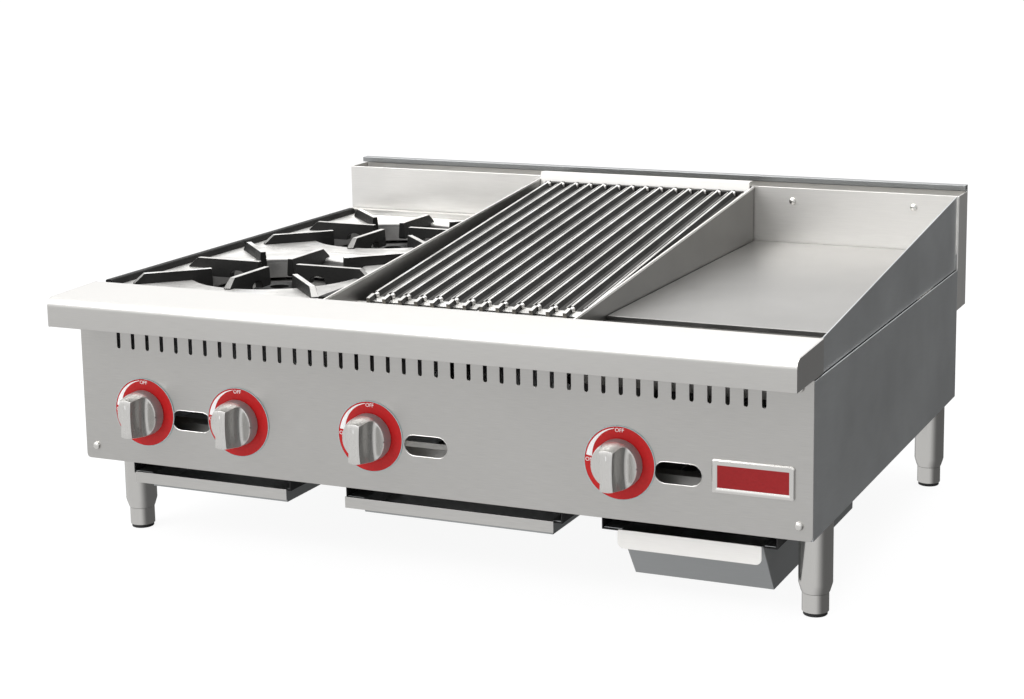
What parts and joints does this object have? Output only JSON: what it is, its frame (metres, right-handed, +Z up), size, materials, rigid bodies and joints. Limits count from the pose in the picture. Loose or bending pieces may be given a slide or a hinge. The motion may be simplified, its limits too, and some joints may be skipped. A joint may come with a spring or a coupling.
{
  "type": "countertop gas range",
  "caption": "Stainless countertop gas cooking unit with open burners, a sloping char-broiler, a griddle, pull-out trays, control knobs and a flue riser.",
  "frame": {"origin": "on the ground, under the middle of the unit's bounding box", "axes": "+X to the right seen from the front, +Y to the back, +Z up"},
  "size_m": [0.914, 0.77, 0.387],
  "materials": {
    "stainless": "fine horizontal brushed stainless sheet",
    "galvanised": "matt galvanised sheet",
    "dark_steel": "black painted steel",
    "cast_iron": "seasoned cast iron, ground bright on its top edges",
    "griddle_steel": "ground and polished steel plate",
    "chrome": "satin chrome",
    "red_enamel": "semi-gloss red enamel",
    "brass": "machined brass"
  },
  "bodies": {
    "cabinet": {"front_panel": "stainless", "front_ledge": "stainless", "left_side_panel": "stainless", "right_side_panel": "stainless", "flue_riser": "stainless", "flue_back_panel": "stainless", "hotplate_pan": "stainless", "broiler_left_wall": "stainless", "broiler_right_wall": "stainless", "broiler_deflector": "stainless", "broiler_grate_rest": "stainless", "griddle_right_splash": "stainless", "grease_gutter": "stainless", "base_panel": "galvanised", "rear_panel": "galvanised", "flue_brace": "galvanised", "front_burner_tube": "galvanised", "rear_burner_tube": "galvanised", "broiler_burner": "galvanised", "griddle_burner": "galvanised", "gas_manifold": "dark_steel", "tray_guide_left": "dark_steel", "tray_guide_middle": "dark_steel", "tray_guide_right": "dark_steel", "front_burner_head": "cast_iron", "rear_burner_head": "cast_iron", "broiler_radiant": "cast_iron", "griddle_plate": "griddle_steel", "badge": "chrome", "leg_front_left": "chrome", "leg_front_right": "chrome", "leg_rear_left": "chrome", "leg_rear_right": "chrome", "bezel_1": "red_enamel", "bezel_2": "red_enamel", "bezel_3": "red_enamel", "bezel_4": "red_enamel", "gas_valve_1": "brass", "gas_valve_2": "brass", "gas_valve_3": "brass", "gas_valve_4": "brass"},
    "knob_1": {"knob_1": "chrome", "valve_stem_1": "brass"},
    "knob_2": {"knob_2": "chrome", "valve_stem_2": "brass"},
    "knob_3": {"knob_3": "chrome", "valve_stem_3": "brass"},
    "knob_4": {"knob_4": "chrome", "valve_stem_4": "brass"},
    "crumb_tray_left": {"crumb_tray_left": "galvanised"},
    "crumb_tray_middle": {"crumb_tray_middle": "galvanised"},
    "grease_box": {"grease_box": "galvanised"},
    "burner_grate_front": {"burner_grate_front": "cast_iron"},
    "burner_grate_rear": {"burner_grate_rear": "cast_iron"},
    "char_grate_left": {"char_grate_left": "cast_iron"},
    "char_grate_right": {"char_grate_right": "cast_iron"},
    "foot_front_left": {"foot_front_left": "chrome"},
    "foot_front_right": {"foot_front_right": "chrome"},
    "foot_rear_left": {"foot_rear_left": "chrome"},
    "foot_rear_right": {"foot_rear_right": "chrome"}
  },
  "joints": [
    {"name": "knob_1_turn", "type": "hinge", "parent": "cabinet", "child": "knob_1", "pos_m": [-0.37, -0.325, 0.171], "axis": [0, -1, 0], "range_deg": [0, 90]},
    {"name": "knob_2_turn", "type": "hinge", "parent": "cabinet", "child": "knob_2", "pos_m": [-0.24, -0.325, 0.171], "axis": [0, -1, 0], "range_deg": [0, 90]},
    {"name": "knob_3_turn", "type": "hinge", "parent": "cabinet", "child": "knob_3", "pos_m": [-0.065, -0.325, 0.171], "axis": [0, -1, 0], "range_deg": [0, 90]},
    {"name": "knob_4_turn", "type": "hinge", "parent": "cabinet", "child": "knob_4", "pos_m": [0.24, -0.325, 0.171], "axis": [0, -1, 0], "range_deg": [0, 90]},
    {"name": "crumb_tray_left_slide", "type": "slide", "parent": "cabinet", "child": "crumb_tray_left", "axis": [0, -1, 0], "range_m": [0, 0.4]},
    {"name": "crumb_tray_middle_slide", "type": "slide", "parent": "cabinet", "child": "crumb_tray_middle", "axis": [0, -1, 0], "range_m": [0, 0.4]},
    {"name": "grease_box_slide", "type": "slide", "parent": "cabinet", "child": "grease_box", "axis": [0, -1, 0], "range_m": [0, 0.3]},
    {"name": "burner_grate_front_lift", "type": "slide", "parent": "cabinet", "child": "burner_grate_front", "axis": [0, 0, 1], "range_m": [0, 0.12]},
    {"name": "burner_grate_rear_lift", "type": "slide", "parent": "cabinet", "child": "burner_grate_rear", "axis": [0, 0, 1], "range_m": [0, 0.12]},
    {"name": "char_grate_left_lift", "type": "slide", "parent": "cabinet", "child": "char_grate_left", "axis": [0, 0, 1], "range_m": [0, 0.12]},
    {"name": "char_grate_right_lift", "type": "slide", "parent": "cabinet", "child": "char_grate_right", "axis": [0, 0, 1], "range_m": [0, 0.12]},
    {"name": "foot_front_left_adjust", "type": "slide", "parent": "cabinet", "child": "foot_front_left", "axis": [0, 0, -1], "range_m": [0, 0.025]},
    {"name": "foot_front_right_adjust", "type": "slide", "parent": "cabinet", "child": "foot_front_right", "axis": [0, 0, -1], "range_m": [0, 0.025]},
    {"name": "foot_rear_left_adjust", "type": "slide", "parent": "cabinet", "child": "foot_rear_left", "axis": [0, 0, -1], "range_m": [0, 0.025]},
    {"name": "foot_rear_right_adjust", "type": "slide", "parent": "cabinet", "child": "foot_rear_right", "axis": [0, 0, -1], "range_m": [0, 0.025]}
  ]
}
